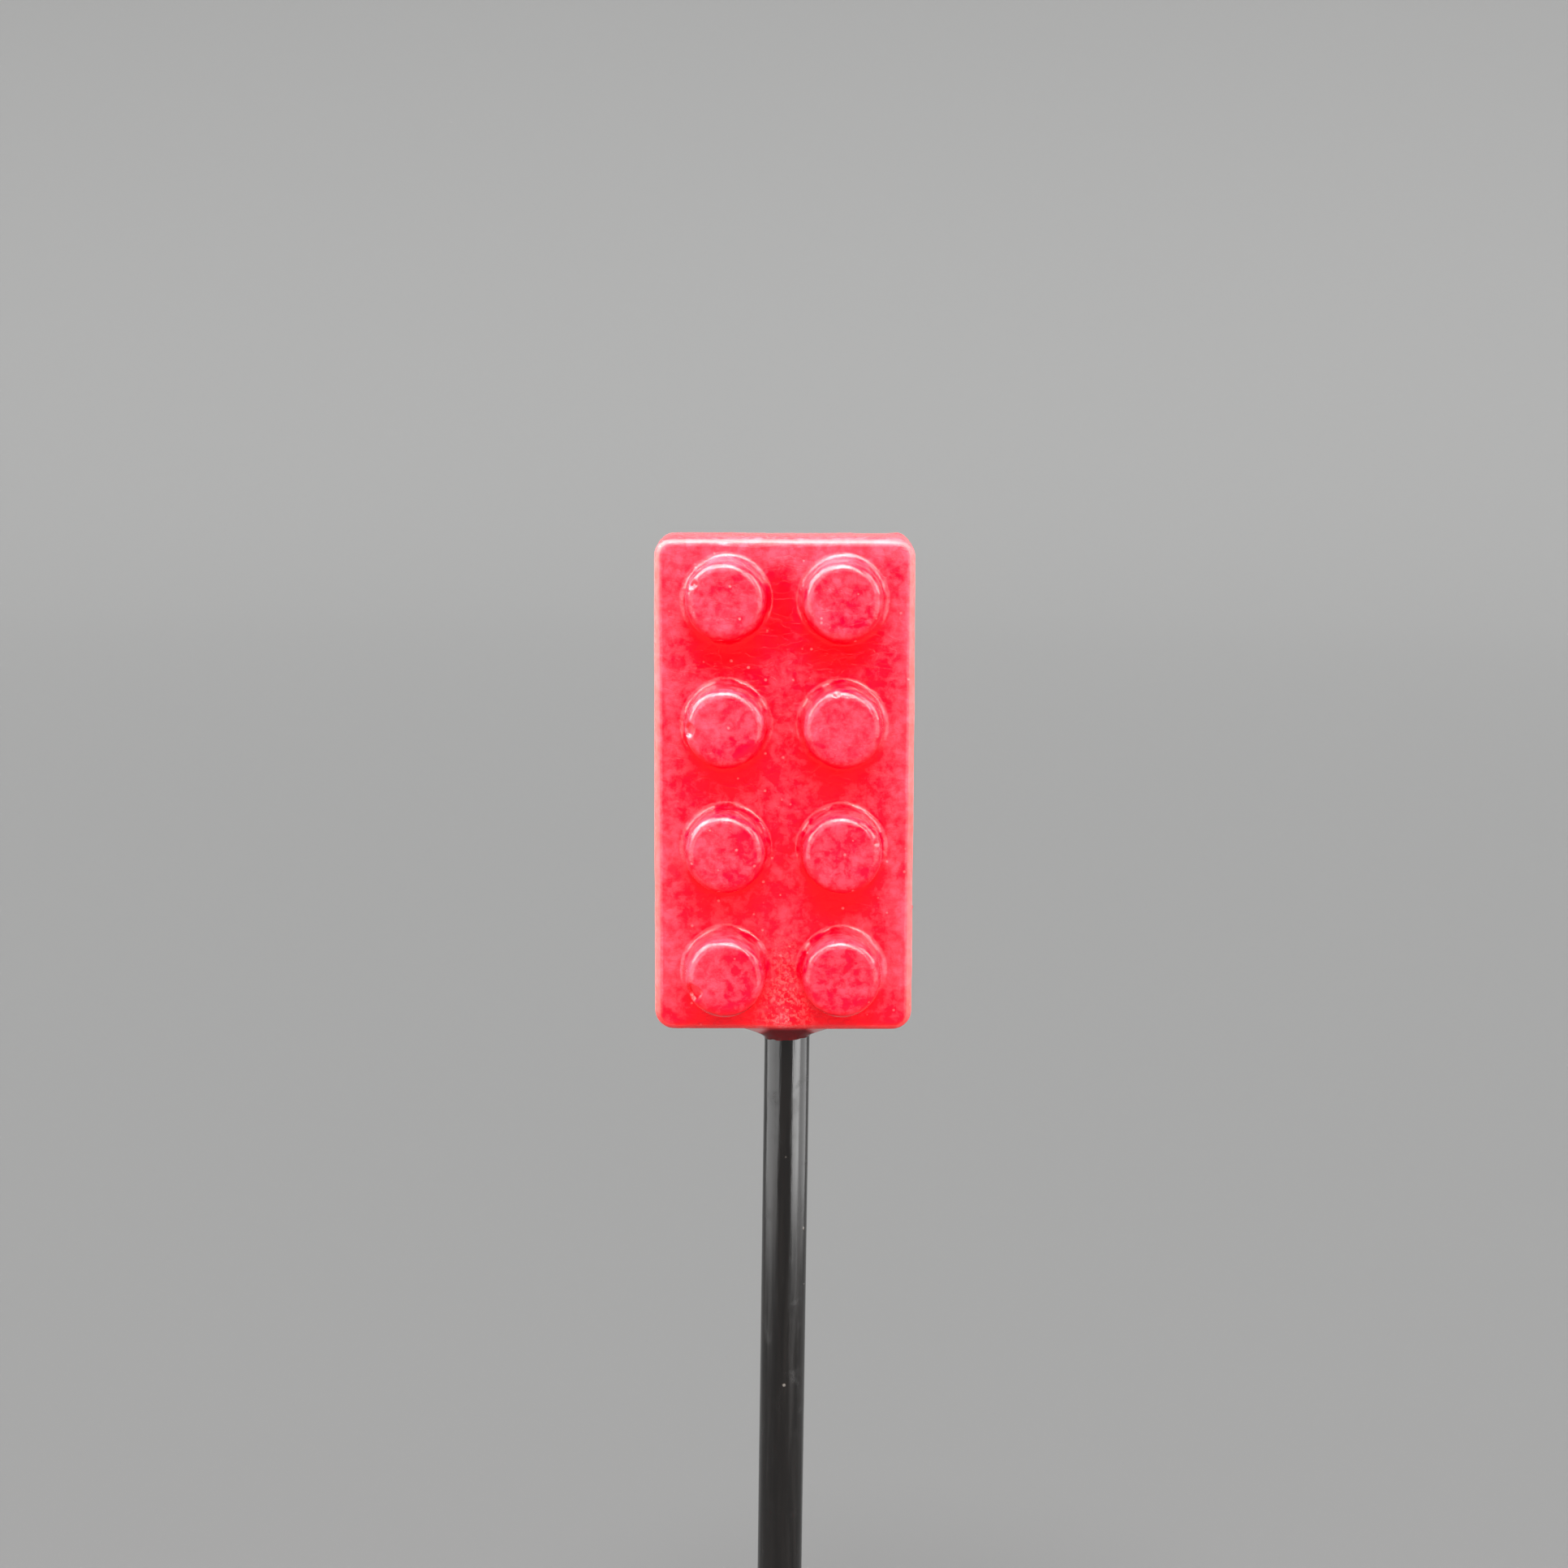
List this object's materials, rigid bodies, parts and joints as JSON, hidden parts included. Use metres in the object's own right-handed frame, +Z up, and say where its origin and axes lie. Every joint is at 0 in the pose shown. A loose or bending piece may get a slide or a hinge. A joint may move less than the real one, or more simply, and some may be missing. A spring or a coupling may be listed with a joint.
{
  "type": "brick-shaped lollipop",
  "caption": "Hard-candy lollipop for display or eating: a glossy cast candy head shaped like a studded toy building brick, set on a straight hollow plastic stick.",
  "frame": {"origin": "centre of the stick's free end, the cut face furthest from the candy head", "axes": "+Z up the stick towards the head, +X to the right across the head's width, -Y the way the studs face"},
  "size_m": [0.0232, 0.0122, 0.1355],
  "materials": {
    "candy": "translucent red boiled sugar with a wet gloss and hazy paler patches",
    "stick_plastic": "black extruded polypropylene, glossy with faint lengthwise draw lines"
  },
  "bodies": {
    "root": {"candy_head": "candy", "stick": "stick_plastic"}
  },
  "joints": []
}
